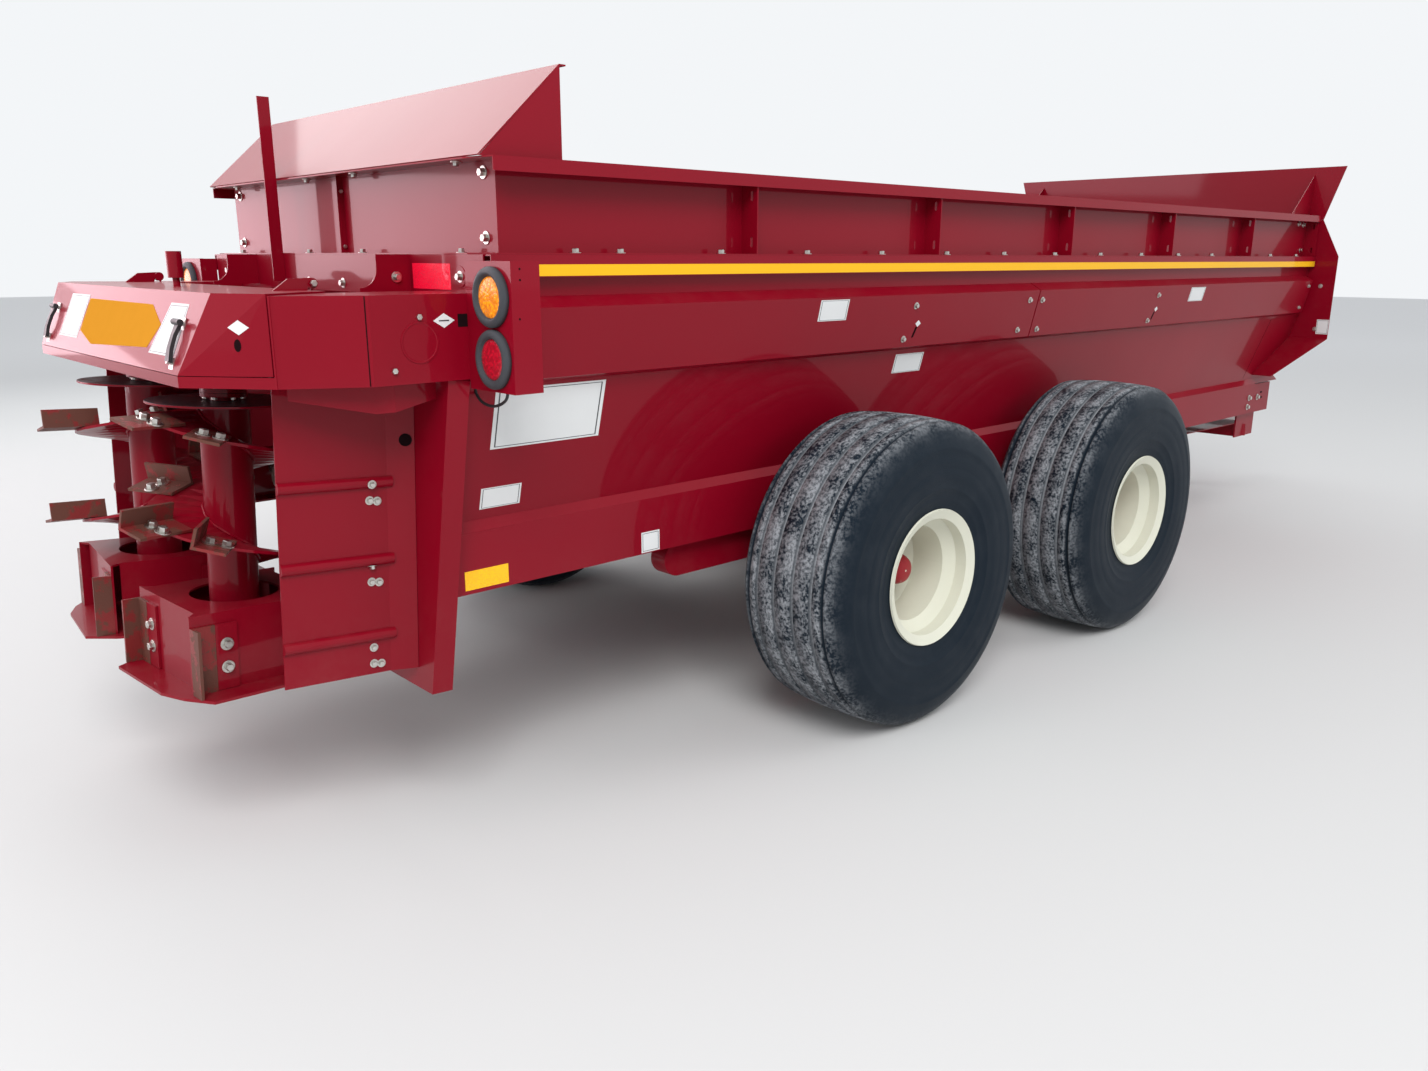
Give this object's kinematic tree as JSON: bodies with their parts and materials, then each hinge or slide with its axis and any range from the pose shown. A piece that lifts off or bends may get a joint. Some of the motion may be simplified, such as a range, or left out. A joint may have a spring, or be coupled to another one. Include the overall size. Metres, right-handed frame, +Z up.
{
  "type": "tandem axle vertical beater manure spreader",
  "caption": "Towed box spreader with a deep open tub, apron chain floor, twin upright rear beaters under a gear housing, tandem flotation tyres and a clevis tongue on a jack.",
  "frame": {"origin": "middle of the footprint, on the ground", "axes": "+X forward to the hitch, +Y to the left side, +Z up"},
  "size_m": [9.9225, 3.446, 2.711],
  "materials": {
    "red_paint": "glossy deep red paint",
    "cream_paint": "glossy cream paint",
    "tyre_rubber": "black rubber with dusty tread",
    "worn_steel": "bare steel worn brown",
    "bare_steel": "bare chain steel",
    "zinc_steel": "zinc plated steel",
    "cast_paint": "dark painted castings",
    "black_plastic": "black plastic guard",
    "amber_lens": "amber lens",
    "red_lens": "red lens"
  },
  "bodies": {
    "chassis": {"frame_rails": "red_paint", "cross_members": "red_paint", "floor_deck": "red_paint", "tub_side_right": "red_paint", "tub_side_left": "red_paint", "side_fold_right": "red_paint", "side_fold_left": "red_paint", "front_wall": "red_paint", "extension_right": "red_paint", "extension_left": "red_paint", "rear_panel": "red_paint", "rear_spill_guard": "red_paint", "front_spill_guard": "red_paint", "rear_posts": "red_paint", "rear_header": "red_paint", "gear_housing": "red_paint", "gearboxes": "cast_paint", "beater_shields": "red_paint", "beater_pan": "red_paint", "lamp_brackets": "red_paint", "amber_lamps": "amber_lens", "red_lamps": "red_lens", "tandem_subframe": "red_paint", "walking_beams": "red_paint", "apron_chains": "bare_steel", "apron_shafts": "bare_steel", "return_pan": "red_paint", "tongue": "red_paint", "hitch_clevis": "red_paint", "jack_tube": "red_paint", "pto_shaft": "black_plastic", "front_gearbox": "red_paint", "side_driveline": "red_paint", "level_bar": "red_paint"},
    "gear_cover": {"gear_cover": "red_paint"},
    "jack_leg": {"jack_leg": "zinc_steel"},
    "beater_right": {"beater_right": "red_paint", "beater_paddles_right": "worn_steel"},
    "beater_left": {"beater_left": "red_paint", "beater_paddles_left": "worn_steel"},
    "wheel_right_rear": {"wheel_right_rear": "cream_paint", "tyre_right_rear": "tyre_rubber"},
    "wheel_right_front": {"wheel_right_front": "cream_paint", "tyre_right_front": "tyre_rubber"},
    "wheel_left_rear": {"wheel_left_rear": "cream_paint", "tyre_left_rear": "tyre_rubber"},
    "wheel_left_front": {"wheel_left_front": "cream_paint", "tyre_left_front": "tyre_rubber"}
  },
  "joints": [
    {"name": "wheel_right_rear_turn", "type": "hinge", "parent": "chassis", "child": "wheel_right_rear", "pos_m": [-2.05978, -1.438, 0.69], "axis": [0, 1, 0], "continuous": true},
    {"name": "wheel_right_front_turn", "type": "hinge", "parent": "chassis", "child": "wheel_right_front", "pos_m": [-0.15278, -1.438, 0.69], "axis": [0, 1, 0], "continuous": true},
    {"name": "wheel_left_rear_turn", "type": "hinge", "parent": "chassis", "child": "wheel_left_rear", "pos_m": [-2.05978, 1.438, 0.69], "axis": [0, 1, 0], "continuous": true},
    {"name": "wheel_left_front_turn", "type": "hinge", "parent": "chassis", "child": "wheel_left_front", "pos_m": [-0.15278, 1.438, 0.69], "axis": [0, 1, 0], "continuous": true},
    {"name": "beater_right_turn", "type": "hinge", "parent": "chassis", "child": "beater_right", "pos_m": [-4.57378, -0.42, 0.585], "axis": [0.0523, 0, 0.9986], "continuous": true},
    {"name": "beater_left_turn", "type": "hinge", "parent": "chassis", "child": "beater_left", "pos_m": [-4.57378, 0.42, 0.585], "axis": [0.0523, 0, 0.9986], "continuous": true},
    {"name": "cover_lift", "type": "hinge", "parent": "chassis", "child": "gear_cover", "pos_m": [-4.32878, 0, 1.958], "axis": [0, 1, 0], "range_deg": [0, 80]},
    {"name": "jack_slide", "type": "slide", "parent": "chassis", "child": "jack_leg", "axis": [0, 0, 1], "range_m": [0, 0.28]}
  ],
  "couplings": [
    {"joint": "beater_left_turn", "follows": "beater_right_turn", "ratio": -1}
  ]
}
